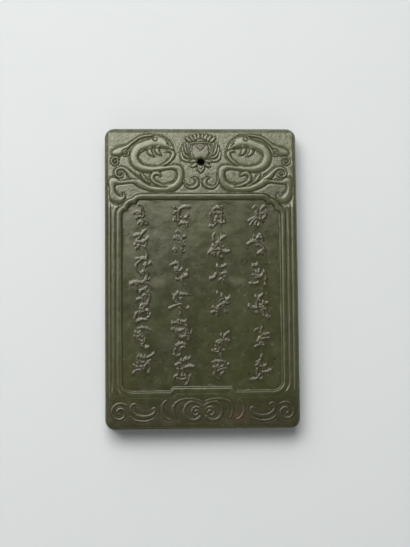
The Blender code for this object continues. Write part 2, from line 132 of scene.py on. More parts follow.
# Small domed bosses: x, y, radius, share of the height
dragonBosses = ((15.2, 25.25, .25, .7), (17.35, 23.45, .3, 1.0), (16.4, 21.0, .26, .85))

# Lines cut into the finished forms: depth and stations
dragonCuts = (
    (0.17, ((9.72, 28.15, .1), (9.58, 28.47, .1), (9.26, 28.61, .1), (8.94, 28.47, .1),
            (8.8, 28.15, .1), (8.94, 27.83, .1), (9.26, 27.69, .1), (9.58, 27.83, .1),
            (9.72, 28.15, .1))),
    (0.17, ((7.15, 27.85, .05), (6.8, 27.6, .11), (6.25, 27.15, .06))),
    (0.17, ((6.95, 27.2, .05), (6.6, 26.95, .11), (6.1, 26.5, .06))),
    (0.08, ((11.4, 26.2, .05), (12.3, 25.6, .08), (12.7, 24.7, .05))),
    (0.08, ((4.8, 20.9, .05), (4.95, 19.9, .08), (5.7, 19.0, .05))),
)

lotusStrokes = (
    ("upperWing", 0.8, 0.0, ((2.1, 24.7, .14), (2.8, 25.3, .32), (3.2, 26.1, .4),
                             (3.25, 27.1, .24))),
    ("middleWing", 0.8, 0.0, ((1.9, 24.2, .14), (2.9, 24.45, .32), (3.6, 25.2, .38),
                              (3.75, 26.6, .16))),
    ("lowerWing", 0.8, 0.0, ((1.6, 23.75, .16), (2.8, 23.62, .33), (3.7, 24.1, .38),
                             (4.05, 25.5, .14))),
    ("upperBloom", 1.0, 0.0, ((.75, 23.55, .28), (1.35, 23.5, .45), (1.95, 23.42, .3))),
    ("lowerBloom", 1.0, 0.0, ((.75, 22.95, .28), (1.3, 22.68, .45), (1.8, 22.4, .26))),
)
lotus = {"massShare": 0.36, "moat": 0.12, "petalMoat": 0.05,
         "budAt": 25.7, "budSize": (1.9, 1.5)}
lotusMass = ((0, 24.8, 2.5), (0, 25.3, 3.1), (0, 25.8, 3.35), (0, 26.3, 2.9))
lotusMiddle = (
    ("bud", 0.42, 0.0, ((0, 24.3, .9), (0, 24.9, 1.5), (0, 25.8, 1.75), (0, 26.8, 1.3))),
    ("budRim", 1.0, 0.0, ((-2.25, 25.2, .15), (-2.38, 26.2, .17), (-2.1, 27.05, .18),
                           (-1.3, 27.3, .2), (0, 27.33, .2), (1.3, 27.3, .2), (2.1, 27.05, .18),
                           (2.38, 26.2, .17), (2.25, 25.2, .15), (1.6, 24.4, .1))),
    ("lowestBloom", 1.0, 0.0, ((0, 22.85, .35), (0, 22.4, .78), (0, 21.85, .74), (0, 21.3, .3))),
)
lotusCuts = (
    (0.1, ((-1.2, 26.95, .05), (-.65, 26.3, .08), (0, 25.7, .08), (.65, 26.3, .08),
           (1.2, 26.95, .05))),
    (0.12, ((-.9, 26.95, .06), (0, 26.75, .1), (.9, 26.95, .06))),
    (0.12, ((-.4, 22.4, .06), (-.25, 22.0, .1), (0, 21.8, .1), (.25, 22.0, .1),
            (.4, 22.4, .06))),
)
lotusFan = {"petals": 4, "first": 83, "turn": -12.3, "middle": (0, 25.4),
            "root": (2.2, .165), "tip": (3.6, .15), "share": 0.88}

friezeStrokes = (
    ("cloudHood", 1.0, 0.5, ((.3, -25.1, .14), (1.1, -24.75, .22), (2.4, -24.5, .24),
                             (3.9, -24.6, .26), (5.2, -25.15, .3), (5.9, -26.1, .33),
                             (5.85, -27.3, .31), (5.4, -28.35, .17))),
    ("cloudShoulder", 1.0, 0.5, ((7.2, -24.7, .1), (7.8, -25.2, .26), (8.15, -26.1, .3),
                                 (8.1, -27.2, .3), (7.5, -28.2, .28), (6.6, -28.6, .14))),
    ("smile", 1.0, 0.3, ((10.25, -26.5, .12), (9.8, -26.25, .2), (9.55, -26.75, .26),
                         (10.1, -27.55, .32), (11.6, -28.0, .37), (13.1, -27.75, .35),
                         (14.2, -26.9, .28), (14.35, -25.9, .25), (13.75, -25.4, .22),
                         (13.2, -25.75, .14))),
    ("chin", 0.9, 0.3, ((9.9, -28.4, .1), (11.6, -28.9, .17), (13.5, -28.65, .17),
                        (14.7, -27.8, .09))),
)
friezeCoils = (
    ("innerCoil", (1.45, -27.1), (1.1, .2), (150, -300), .2, 1.0),
    ("cloudRing", (1.95, -26.95), (1.85, 1.8), (145, -140), .34, 1.0),
    ("cornerCoil", (16.6, -27.15), (1.95, .35), (128, -420), .23, 1.0),
)

# Low strokes in the panel, in four columns. They only keep the rhythm of brushwork: each
# kind gives its slant in degrees, its shortest and longest length, and the turn of its hook.
brushwork = {
    "columns": (-12.0, -4.3, 3.5, 11.7),
    "rows": ((12.3, 6.8, 1.7, -2.8, -7.2, -12.2, -17.5),
             (12.2, 7.0, 0.8, -5.0, -10.4, -15.2, -19.4),
             (12.0, 6.2, 0.4, -5.8, -13.6, -18.2),
             (12.2, 6.3, 0.5, -6.3, -12.5, -18.5)),
    "kinds": ((-8, 1.6, 2.8, 0), (-14, 1.0, 1.9, 105), (4, 1.0, 2.2, 0), (88, 1.2, 2.4, 0),
              (94, 1.0, 2.2, -120), (52, 1.0, 2.2, 0), (128, 1.2, 2.4, 0), (132, .7, 1.3, 0),
              (40, .6, 1.1, 0), (66, 1.3, 2.4, -75), (-20, .6, 1.2, 130)),
    "perGroup": (7, 11), "reach": (2.4, 2.1), "halfWidth": 0.12, "rise": 0.21,
    "pressure": ((-.5, 1.2), (-.25, .85), (.1, .85), (.4, .8), (.5, .6)),   # along a stroke
    "hookLength": 0.55, "seed": 23,
}


# Shapes on the face

def arcPoints(middle, radius, start, end, steps):
    points = []
    for step in range(steps + 1):
        angle = math.radians(start + (end - start) * step / steps)
        points.append((middle[0] + radius * math.cos(angle),
                       middle[1] + radius * math.sin(angle)))
    return points


# The angles at which two lobes of one radius meet in a cusp
def cuspAngles(first, second, radius):
    gap = Vector(second) - Vector(first)
    half = gap.length / 2
    outward = Vector((gap.y, -gap.x)).normalized()
    cusp = (Vector(first) + Vector(second)) / 2 + outward * math.sqrt(radius ** 2 - half ** 2)
    return [math.degrees(math.atan2(cusp.y - spot[1], cusp.x - spot[0]))
            for spot in (first, second)]


def lobedCorner(offset):
    size = panel["lobeRadius"]
    side, middle, top = [(panel["halfWidth"] - across * size, panel["top"] - down * size)
                         for across, down in panel["lobes"]]
    radius = size + offset
    leaveSide, enterMiddle = cuspAngles(side, middle, radius)
    leaveMiddle, enterTop = cuspAngles(middle, top, radius)
    return (arcPoints(side, radius, 0, leaveSide, 8)
            + arcPoints(middle, radius, enterMiddle, leaveMiddle, 8)[1:]
            + arcPoints(top, radius, enterTop, 90, 7)[1:])


def panelOutline():
    radius = panel["footRadius"]
    bottom = panel["bottom"]
    step = [(panel["stepHalfWidth"] - panel["stepHeight"], bottom + panel["stepHeight"]),
            (panel["stepHalfWidth"], bottom)]
    foot = arcPoints((panel["halfWidth"] - radius, bottom + radius), radius, -90, 0, 8)
    right = step + foot + lobedCorner(0)
    return right + [(-x, y) for x, y in reversed(right)]


# Distance to an outline, positive inside it
def insideDistance(x, y, outline):
    nearest = np.full(x.shape, 1e9)
    inside = np.zeros(x.shape, bool)
    for (ax, ay), (bx, by) in zip(outline, outline[1:] + outline[:1]):
        dx, dy = bx - ax, by - ay
        square = dx * dx + dy * dy
        if square < 1e-12:
            continue
        share = np.clip(((x - ax) * dx + (y - ay) * dy) / square, 0, 1)
        nearest = np.minimum(nearest, np.hypot(x - ax - share * dx, y - ay - share * dy))
        if ay != by:
            crosses = ((ay > y) != (by > y)) & (x < dx * (y - ay) / dy + ax)
            inside ^= crosses
    return np.where(inside, nearest, -nearest)


def soften(value, start, end):
    share = np.clip((value - start) / (end - start), 0, 1)
    return share * share * (3 - 2 * share)


# A smooth run through given stations
def smoothRun(stations, steps):
    spots = [np.array(spot, float) for spot in stations]
    spots = [2 * spots[0] - spots[1]] + spots + [2 * spots[-1] - spots[-2]]
    run = []
    for before, start, end, after in zip(spots, spots[1:], spots[2:], spots[3:]):
        for step in range(steps):
            t = step / steps
            run.append(0.5 * (2 * start + (end - before) * t
                              + (2 * before - 5 * start + 4 * end - after) * t * t
                              + (3 * start - before - 3 * end + after) * t ** 3))
    run.append(spots[-2])
    run = np.array(run)
    run[:, 2] = np.maximum(run[:, 2], 0.03)
    return run


def coilStations(middle, radii, angles, halfWidth):
    steps = max(4, round(abs(angles[1] - angles[0]) / 30))
    stations = []
    for step in range(steps + 1):
        share = step / steps
        angle = math.radians(angles[0] + (angles[1] - angles[0]) * share)
        radius = radii[0] + (radii[1] - radii[0]) * share
        stations.append((middle[0] + radius * math.cos(angle),
                         middle[1] + radius * math.sin(angle), halfWidth))
    return stations


# How far each point is from a run, with the run's half width and its length so far there
def nearestOnRun(x, y, run):
    start, end = run[:-1], run[1:]
    step = end[:, :2] - start[:, :2]
    length = np.maximum(np.hypot(step[:, 0], step[:, 1]), 1e-6)
    sofar = np.concatenate(([0], np.cumsum(length)))[:-1]
    px, py = x[:, None] - start[:, 0], y[:, None] - start[:, 1]
    share = np.clip((px * step[:, 0] + py * step[:, 1]) / length ** 2, 0, 1)
    away = np.hypot(px - share * step[:, 0], py - share * step[:, 1])
    half = start[:, 2] + share * (end[:, 2] - start[:, 2])
    pick = np.argmin(away - 0.5 * half, axis=1)
    row = np.arange(len(x))
    return away[row, pick], half[row, pick], (sofar + share * length)[row, pick]


def nearRun(face, run, margin):
    reach = run[:, 2].max() + margin
    return np.nonzero((face["x"] > run[:, 0].min() - reach) & (face["x"] < run[:, 0].max() + reach)
                      & (face["y"] > run[:, 1].min() - reach)
                      & (face["y"] < run[:, 1].max() + reach))[0]


# One raised stroke: an arched ribbon on the sunk ground, with a moat cut along its sides.
# A low one is a shallow swelling, and its edges are marked for a dark line of dirt and painted shade.
def raiseStroke(face, stations, share, root, moat, low=False):
    run = smoothRun(stations, 10)
    spots = nearRun(face, run, 0.7)
    away, half, sofar = nearestOnRun(face["x"][spots], face["y"][spots], run)
    level, crest, now = face["ground"][spots], face["crest"][spots], face["z"][spots]
    across = away / half
    top = np.maximum(crest - (1 - share) * 0.62 * (crest - level).clip(.25),
                     level + (0.035 if low else 0.2))
    tip = np.sqrt(np.clip(half / 0.24, 0.3, 1))
    bow = 2 if low else 2.2 + 0.7 * np.clip(half, 0, 1)
    soft = 1 if low else 0.5 + 0.28 * np.clip(half - 0.3, 0, 0.7) / 0.7
    arch = (top - level) * (1 - np.clip(across, 0, 1) ** bow) ** soft * tip
    ramp = np.clip(sofar / root, 0, 1) if root else np.ones(len(spots))
    up = level + arch
    covered = np.where(ramp < 1, np.maximum(now, up), np.maximum(np.minimum(now, up + 0.1), up))
    gap = np.clip((away - half) / (0.13 if low else 0.12), 0, None)
    cut = moat * ramp * np.exp(-gap ** 1.5)
    beside = np.minimum(now, np.maximum(now - 1.5 * cut, level - moat * ramp * np.exp(-gap)))
    face["z"][spots] = np.where(across < 1, covered, beside)
    if low:
        # The dark line along a low stroke's edge is painted shade and dirt, standing in for a groove
        seam = np.where(across < 0.7, 0, face["seam"][spots])
        face["seam"][spots] = np.maximum(seam, ramp * np.exp(-((away - half) / 0.1) ** 2))
    face["figure"][spots] = np.maximum(face["figure"][spots],
                                       np.clip(1.25 - across, 0, 0.1 if low else 1))


def raiseBoss(face, x, y, radius, share):
    away = np.hypot(face["x"] - x, face["y"] - y)
    spots = np.nonzero(away < radius + 0.35)[0]
    away = away[spots]
    level, crest, now = face["ground"][spots], face["crest"][spots], face["z"][spots]
    top = crest - (1 - share) * 0.6 * (crest - level)
    dome = level + (top - level) * np.sqrt(np.clip(1 - (away / radius) ** 2, 0, 1))
    ring = now - 0.2 * np.exp(-(((away - radius) / 0.1) ** 2))
    face["z"][spots] = np.where(away < radius, np.maximum(dome, ring), ring)


def cutLine(face, stations, depth):
    run = smoothRun(stations, 10)
    spots = nearRun(face, run, 0.25)
    away, half, _ = nearestOnRun(face["x"][spots], face["y"][spots], run)
    across = away / half
    face["z"][spots] -= depth * np.clip(1 - across ** 2 * 0.8, 0, 1)


def mirrored(stations, side, wider=1.0):
    return [(side * spot[0], spot[1], spot[2] * wider) for spot in stations]


# The face before any figures: edges, panel, beads and the two sunk grounds
def laySurface(face):
    x, y = face["x"], face["y"]
    side = np.abs(x)
    inPanel = insideDistance(x, y, panelOutline())
    z = np.zeros(x.shape)

    # The rounded beads between the grooves at the sides and over the panel
    out = -inPanel
    bead = panel["bead"]
    upper = soften(y, -23.4, -21.8)
    across = np.clip(out / bead, 0, 1)
    onBead = (out > 0) & (out < bead)
    z -= np.where(onBead, panel["beadDrop"] * np.abs(2 * across - 1) ** 2.4, 0) * upper
    besides = (y < 14.5) & (side > panel["halfWidth"])
    second = width / 2 - panel["outerGroove"] - panel["halfWidth"] - bead
    share = np.clip((out - bead) / second, 0, 1)
    z -= np.where(besides & (out > bead) & (out < bead + second),
                  panel["beadDrop"] * 0.8 * np.abs(2 * share - 1) ** 2.4, 0) * upper
    inner = np.exp(-((out - bead) / panel["grooveWidth"]) ** 2)
    z -= panel["grooveDepth"] * inner * np.where(y > -22, 1, 0.15 + 0.85 * upper)
    outer = np.exp(-((side - (width / 2 - panel["outerGroove"])) / panel["grooveWidth"]) ** 2)
    z -= panel["grooveDepth"] * 0.9 * outer * upper * soften(y, 15.4, 13.8)

    # The sunk panel, its wall rounded over at the top and into the floor
    wall = soften(inPanel, -0.06, panel["wall"] + 0.08)
    z = z * (1 - wall) - panel["depth"] * wall
    z += 0.012 * np.sin(x * 0.9 + 1.3 * np.sin(y * 0.21)) * soften(inPanel, 0.2, 1.2)

    # The dragons' ground
    fromSide = width / 2 - 0.3 - side
    overBead = out - bead + 0.05
    floorLine = np.where(side > panel["halfWidth"] + 0.6, y - ground["pocketFloor"], 9)
    sunk = (soften(overBead, 0, ground["beadSlope"]) * soften(floorLine, -0.3, 0.9)
            * (1 - 0.35 * soften(side, 16.5, 19.0) * soften(y, 22, 17)))
    sunk = np.where((y > 12) & (out > 0), sunk, 0)
    level = -ground["depth"] * sunk
    fall = np.clip((y - 20.0) / 10.5, 0, 1)
    fall = ground["camber"] * fall ** 2 * soften(overBead, 0, 2)
    level -= fall
    face["crest"] = -ground["clearance"] - 0.75 * fall

    # The frieze's ground
    low = y + height / 2 + 0.3
    over = panel["bottom"] - bead + 0.4 - y
    under = (soften(low, 0, ground["friezeSlope"]) * soften(fromSide, 0, ground["friezeSlope"])
             * soften(over, 0, 2.0))
    under = np.where(y < -20, under, 0)
    level2 = -ground["friezeDepth"] * under
    face["foot"] = under
    face["ground"] = level + level2
    face["z"] = z + level + level2
    # The pebbly ground, fuller towards the top edge; the pale dust laid on it is partly a painted sheen
    face["pebble"] = np.clip(sunk * 1.3, 0, 1) * (0.4 + 0.6 * soften(y, 16.5, 27))
    face["inPanel"] = inPanel


def carveFigures(face):
    deep, shallow = ground["moat"], ground["friezeMoat"]
    raiseStroke(face, lotusMass, lotus["massShare"], 0, deep)
    for side in (1, -1):
        for index in range(lotusFan["petals"]):
            angle = math.radians(lotusFan["first"] + lotusFan["turn"] * index)
            root = lotusFan["root"][0] + lotusFan["root"][1] * index
            tip = lotusFan["tip"][0] + lotusFan["tip"][1] * index
            middle = lotusFan["middle"]
            petal = [(middle[0] + math.cos(angle) * (root + (tip - root) * part),
                      middle[1] + math.sin(angle) * (root + (tip - root) * part), half)
                     for part, half in ((0, .24), (.6, .42), (1, .36))]
            raiseStroke(face, mirrored(petal, side), lotusFan["share"], 0, lotus["petalMoat"])
        for name, share, root, stations in lotusStrokes:
            raiseStroke(face, mirrored(stations, side), share, root, lotus["moat"])
    for name, share, root, stations in lotusMiddle:
        raiseStroke(face, stations, share, root, lotus["moat"])
    for depth, stations in lotusCuts:
        cutLine(face, stations, depth)
    acrossBud, alongBud = lotus["budSize"]
    budFace = np.hypot(face["x"] / acrossBud, (face["y"] - lotus["budAt"]) / alongBud)
    face["figure"] *= soften(budFace, 0.8, 1.1)
    face["pebble"] *= 0.6 + 0.4 * soften(budFace, 0.8, 1.1)
    face["bud"] = 1 - soften(budFace, 0.8, 1.05)
    for side in (1, -1):
        for name, share, root, stations in dragonStrokes:
            raiseStroke(face, mirrored(stations, side), share, root, deep)
        for name, middle, radii, angles, half, share in dragonCoils:
            coil = coilStations(middle, radii, angles, half)
            raiseStroke(face, mirrored(coil, side), share, 0.5, deep)
        for x, y, radius, share in dragonBosses:
            raiseBoss(face, side * x, y, radius, share)
        for depth, stations in dragonCuts:
            cutLine(face, mirrored(stations, side), depth)
        for name, middle, radii, angles, half, share in friezeCoils:
            coil = coilStations(middle, radii, angles, half)
            raiseStroke(face, mirrored(coil, side, 1.05), share, 0.3, shallow, True)
        for name, share, root, stations in friezeStrokes:
            raiseStroke(face, mirrored(stations, side, 1.05), share, root, shallow, True)


# Low raised strokes, each with a pressed start and a thin end, in loose groups that read as
# brushwork from a step away
def raiseBrushwork(face):
    dice = np.random.default_rng(brushwork["seed"])
    reachX, reachY = brushwork["reach"]
    runs = []
    for column, rows in zip(brushwork["columns"], brushwork["rows"]):
        for row in rows:
            kinds = dice.permutation(len(brushwork["kinds"]))[:dice.integers(*brushwork["perGroup"])]
            for part, kind in enumerate(kinds):
                slant, shortest, longest, hook = brushwork["kinds"][kind]
                angle = math.radians(slant + dice.normal(0, 8))
                length = dice.uniform(shortest, longest)
                cx = column + dice.uniform(-0.55, 0.55) * reachX
                cy = row + (part / (len(kinds) - 1) - 0.5) * -1.5 * reachY + dice.normal(0, 0.2)
                bow = dice.uniform(0.12, 0.42) * dice.choice((-1, 1))
                stations = []
                for share, press in brushwork["pressure"]:
                    swing = bow * (1 - 4 * share * share)
                    stations.append((cx + length * share * math.cos(angle) - swing * math.sin(angle),
                                     cy - length * share * math.sin(angle) - swing * math.cos(angle),
                                     brushwork["halfWidth"] * press))
                if hook:
                    last = stations[-1]
                    bend = angle + math.radians(hook)
                    length = brushwork["hookLength"]
                    stations.append((last[0] + length * math.cos(bend),
                                     last[1] - length * math.sin(bend),
                                     brushwork["halfWidth"] * .4))
                runs.append(smoothRun(stations, 6))
    near = np.full(face["x"].shape, 9.0)
    rise = np.zeros(face["x"].shape)
    for run in runs:
        spots = nearRun(face, run, 0.6)
        away, half, _ = nearestOnRun(face["x"][spots], face["y"][spots], run)
        near[spots] = np.minimum(near[spots], away - half)
        arch = np.sqrt(np.clip(1 - (away / half) ** 2, 0, 1)) * np.sqrt(np.clip(half / 0.2, .4, 1.1))
        rise[spots] = np.maximum(rise[spots], arch)
    inner = soften(face["inPanel"], 0.15, 0.5)
    # A dark halo beside each stroke, dirt and painted shade at its foot, thinning where the stroke
    # rises
    darkening = np.exp(-(np.clip(near, 0, None) / 0.22) ** 2) * inner
    face["z"] += inner * brushwork["rise"] * rise
    face["ink"] = darkening * np.clip(1.1 - 1.5 * rise, 0, 1)
    face["stroke"] = rise * inner
    face["figure"] = np.maximum(face["figure"], 0.1 * face["stroke"])


# A soft blur over the grid's rows and columns
def blurred(values, radius):
    steps = np.arange(-radius, radius + 1)
    weights = np.exp(-(steps / (radius * 0.5)) ** 2)
    weights /= weights.sum()
    for axis in (0, 1):
        padded = np.pad(values, [(radius, radius) if a == axis else (0, 0) for a in (0, 1)], "edge")
        values = sum(weight * np.take(padded, range(step, step + values.shape[axis]), axis)
                     for step, weight in enumerate(weights))
    return values


# How far a rounded rim of this radius falls below the face
def edgeDrop(x, y, radius):
    corner = plaque["cornerRadius"]
    qx, qy = np.abs(x) - (width / 2 - corner), np.abs(y) - (height / 2 - corner)
    outside = np.hypot(np.maximum(qx, 0), np.maximum(qy, 0)) + np.minimum(np.maximum(qx, qy), 0)
    inward = np.clip(corner - outside, 0, radius)
    return radius - np.sqrt(np.maximum(radius ** 2 - (radius - inward) ** 2, 0))


# The grid's lines: close over the rounded edge, even between
def gridLines(half, steps):
    rim = [plaque["frontRound"] * (1 - math.cos(math.radians(angle)))
           for angle in (0, 18, 36, 54, 72, 90)]
    lines = [-half + offset for offset in rim]
    while lines[-1] < half - plaque["frontRound"] - 0.75 * steps(lines[-1]):
        lines.append(lines[-1] + steps(lines[-1]))
    return np.array(lines + [half - offset for offset in reversed(rim)])


def rowStep(y):
    return plaque["panelCell"] if -22.0 < y < 13.6 else plaque["cell"]


# One number for a face or an edge, from its lowest and highest vertices
def orderKey(corners, count):
    return min(corners) * count + max(corners)


# The blank: a grid cut to the plaque's outline, drilled, and drawn out to its thickness
def makeBlank():
    across = gridLines(width / 2, lambda x: plaque["cell"])
    along = gridLines(height / 2, rowStep)
    bm = bmesh.new()
    bmesh.ops.create_grid(bm, x_segments=len(across) - 1, y_segments=len(along) - 1, size=1)
    for vert in bm.verts:
        column = round((vert.co.x + 1) / 2 * (len(across) - 1))
        row = round((vert.co.y + 1) / 2 * (len(along) - 1))
        vert.co = (across[column], along[row], 0)
    spot = Vector((0, plaque["holeAt"], 0))
    radius = plaque["holeBore"] / 2
    gone = [face for face in bm.faces if (face.calc_center_median() - spot).length < radius]
    bmesh.ops.delete(bm, geom=gone, context="FACES")
    for vert in [vert for vert in bm.verts if vert.is_boundary and (vert.co - spot).length < 1.2]:
        vert.co = spot + (vert.co - spot).normalized() * radius
    drawn = bmesh.ops.extrude_face_region(bm, geom=bm.faces[:])
    upper = [item for item in drawn["geom"] if isinstance(item, bmesh.types.BMVert)]
    bmesh.ops.translate(bm, verts=upper, vec=(0, 0, thickness))
    bmesh.ops.recalc_face_normals(bm, faces=bm.faces[:])

    # The extrusion makes its side faces in no fixed order, and the thinning depends on it
    bm.verts.index_update()
    for parts in (bm.edges, bm.faces):
        parts.sort(key=lambda part: orderKey([vert.index for vert in part.verts], len(bm.verts)))
    mesh = bpy.data.meshes.new("carvedPlaque")
    bm.to_mesh(mesh)
    bm.free()
    return mesh, across, along


def roundCorners(x, y):
    corner = plaque["cornerRadius"]
    a, b = np.abs(x) - (width / 2 - corner), np.abs(y) - (height / 2 - corner)
    both = (a > 0) & (b > 0)
    newA = np.where(both, a * np.sqrt(np.maximum(1 - b * b / (2 * corner ** 2), 0)), a)
    newB = np.where(both, b * np.sqrt(np.maximum(1 - a * a / (2 * corner ** 2), 0)), b)
    return (np.where(both, np.sign(x) * (newA + width / 2 - corner), x),
            np.where(both, np.sign(y) * (newB + height / 2 - corner), y))


back = {"panelDepth": 0.35, "wall": 0.4, "voluteRadius": 2.3, "voluteAt": 6.2,
        "lineDepth": 0.18, "lineWidth": 0.14, "holeChamfer": 0.22}


# The back, plainer: a shallow panel of the same outline and a pair of volutes by the hole
def carveBack(face):
    stepTop = panel["bottom"] + panel["stepHeight"]
    outline = [spot for spot in panelOutline() if spot[1] != stepTop]
    inside = insideDistance(face["x"], face["y"], outline)
    face["z"] = -back["panelDepth"] * soften(inside, -0.05, back["wall"] + 0.05)
    for side in (1, -1):
        turns = coilStations((0, 0), (1.0, .25), (200, -280), back["lineWidth"])
        size = back["voluteRadius"]
        cutLine(face, [(side * (back["voluteAt"] + size * u), plaque["holeAt"] + size * v, half)
                       for u, v, half in turns], back["lineDepth"])
        first = back["voluteAt"] + size + 0.8
        cutLine(face, [(side * first, plaque["holeAt"], .1),
                       (side * (first + 2), plaque["holeAt"], .15),
                       (side * (panel["halfWidth"] - 1.2), plaque["holeAt"], .08)],
                back["lineDepth"])
    ring = np.hypot(face["x"], face["y"] - plaque["holeAt"]) - plaque["holeBore"] / 2
    face["z"] -= back["holeChamfer"] * np.exp(-(ring / 0.2) ** 2)


# The waves of hand polishing, the chamfer of the hole and the worn top and side edges
def easeSurface(face):
    x, y = face["x"], face["y"]
    waves = (np.sin(x * 0.55 + 0.8 * np.sin(y * 0.3))
             + np.sin(y * 0.47 + 1.7 + 0.6 * np.sin(x * 0.41))) / 2
    face["z"] = face["z"] - plaque["unevenness"] * (1 + waves) / 2
    ring = np.hypot(x, y - plaque["holeAt"]) - plaque["holeBore"] / 2
    face["z"] -= plaque["holeChamfer"] * np.exp(-(ring / 0.14) ** 2)
    overTop = y - (height / 2 - plaque["topEase"])
    overSide = np.abs(x) - (width / 2 - plaque["sideEase"])
    face["z"] -= (plaque["topSlope"] * np.clip(overTop, 0, None)
                  + plaque["sideSlope"] * np.clip(overSide, 0, None))
    # A painted highlight along the inner edge of the eased rim, fading out below the middle
    face["lip"] = np.exp(-(np.maximum(overTop, overSide) / 0.13) ** 2) * soften(y, -20, 0)


wearAndPaintedLight = {
    "broadHollow": 0.4, "narrowHollow": 0.8,    # how dark wide and fine hollows are painted: dirt and painted shade
    "shadeAndDirtInBand": 1.15, "shadeAndDirtInPanel": 0.42, "shadeAndDirtInFrieze": 0.8,
    "seamDirtAndShade": 1.3, "friezeDarkening": 0.44, "budDarkening": 0.5, "strokeStain": 0.12,
    "crestSheen": 0.8, "friezeSheen": 0.1, "strokeSheen": 0.15, "lipHighlight": 0.7,
    "bandMatt": 0.12, "friezeMatt": 0.1,
}


# What lies below its surroundings is painted darker with dirt and painted shade, and what stands above
# them paler with wear and a painted highlight
def findWearAndPaintedLight(face, row, column, along, across):
    relief = np.full((len(along), len(across)), float(np.median(face["z"])))
    relief[row, column] = face["z"]
    wide, fine = blurred(relief, 7), blurred(relief, 3)
    # How far each point lies below its blurred surroundings: the dirt and painted shade of hollows
    hollow = (np.clip((wide - relief) / 0.2, 0, 1) * wearAndPaintedLight["broadHollow"]
              + np.clip((fine - relief) / 0.05, 0, 1) * wearAndPaintedLight["narrowHollow"])
    hollow = np.clip(blurred(hollow, 1), 0, 1)[row, column]
    proud = np.clip((relief - wide) / 0.14, 0, 1)
    proud = np.clip(blurred(proud, 1), 0, 1)[row, column]
    steep = np.hypot(np.gradient(relief, along, axis=0), np.gradient(relief, across, axis=1))
    steep = np.clip(blurred(steep, 1) / 0.3 - 0.1, 0, 1)[row, column]
    steep *= 1 - 0.4 * face["foot"]

    y = face["y"]
    shadeAndDirt = np.where(y > 13.5, wearAndPaintedLight["shadeAndDirtInBand"],
                    np.where(y < -23.5, wearAndPaintedLight["shadeAndDirtInFrieze"], wearAndPaintedLight["shadeAndDirtInPanel"]))
    # Hollows, seams and stroke halos are darkened with dirt and painted shade; the frieze's ground and
    # the bud's face are simply painted darker
    darkening = (hollow * shadeAndDirt + face["ink"] + wearAndPaintedLight["seamDirtAndShade"] * face["seam"]
             + wearAndPaintedLight["friezeDarkening"] * face["foot"] + wearAndPaintedLight["budDarkening"] * face["bud"]
             + wearAndPaintedLight["strokeStain"] * face["stroke"])
    # Crests and stroke tops are painted paler, wear and a painted highlight; the rim's lip gets a
    # painted highlight
    sheen = proud * np.where(y < -22.5, wearAndPaintedLight["friezeSheen"], wearAndPaintedLight["crestSheen"])
    cut = steep * np.where(y > 14.5, wearAndPaintedLight["bandMatt"], 0.3 + 0.4 * soften(y, 9, -14))
    return {"grimeAndShade": np.clip(darkening, 0, 1),
            "wearAndSheen": (np.maximum(sheen, wearAndPaintedLight["strokeSheen"] * face["stroke"])
                       + wearAndPaintedLight["lipHighlight"] * face["lip"]),
            "pebble": face["pebble"],
            "matt": np.maximum(cut, wearAndPaintedLight["friezeMatt"] * face["foot"]),
            "figure": face["figure"]}


def carvePlaque():
    mesh, across, along = makeBlank()
    print("blank drawn out:", len(mesh.vertices), "points")
    count = len(mesh.vertices)
    flat = np.empty(count * 3)
    mesh.vertices.foreach_get("co", flat)
    spots = flat.reshape(-1, 3)
    isFront = spots[:, 2] > thickness / 2
    column = np.clip(np.searchsorted(across, spots[:, 0] - 1e-4), 0, len(across) - 1)
    row = np.clip(np.searchsorted(along, spots[:, 1] - 1e-4), 0, len(along) - 1)
    x, y = roundCorners(spots[:, 0], spots[:, 1])

    front = np.nonzero(isFront)[0]
    face = {"x": x[front], "y": y[front]}
    face["figure"], face["seam"] = np.zeros(len(front)), np.zeros(len(front))
    laySurface(face)
    carveFigures(face)
    raiseBrushwork(face)
    easeSurface(face)
    print("front carved, deepest", round(float(face["z"].min()), 3))

    rear = np.nonzero(~isFront)[0]
    behind = {"x": x[rear], "y": y[rear]}
    carveBack(behind)
    print("back carved")

    z = np.empty(count)
    z[front] = (thickness + (np.minimum(face["z"], 0)
                             - edgeDrop(face["x"], face["y"], plaque["frontRound"])))
    z[rear] = edgeDrop(behind["x"], behind["y"], plaque["backRound"]) - behind["z"]
    moved = np.stack((x, y, z), axis=1) * mm
    mesh.vertices.foreach_set("co", moved.ravel())
    for name, onFront in findWearAndPaintedLight(face, row[front], column[front], along, across).items():
        values = np.zeros(count)
        values[front] = onFront
        if name == "grimeAndShade":
            # The back's sunk parts are painted darker the deeper they lie: dirt and painted shade
            values[rear] = np.clip(-behind["z"] / 0.5, 0, 1) * 0.35
        mesh.attributes.new(name, "FLOAT", "POINT").data.foreach_set("value", values)
    mesh.update()
    piece = bpy.data.objects.new("carvedPlaque", mesh)
    bpy.context.collection.objects.link(piece)
    return piece


# Fewer triangles where the surface is nearly flat, so that the carving keeps its own
def thinOut(piece):
    triangles = 2 * len(piece.data.polygons)
    thin = piece.modifiers.new("thinOut", "DECIMATE")
    thin.ratio = min(1, plaque["mostTriangles"] / triangles)
    graph = bpy.context.evaluated_depsgraph_get()
    finished = bpy.data.meshes.new_from_object(piece.evaluated_get(graph))
    piece.modifiers.clear()
    piece.data = finished
    finished.name = "carvedPlaque"
    finished.polygons.foreach_set("use_smooth", [True] * len(finished.polygons))
    print("thinned to", sum(len(p.vertices) - 2 for p in finished.polygons), "triangles")


# Materials

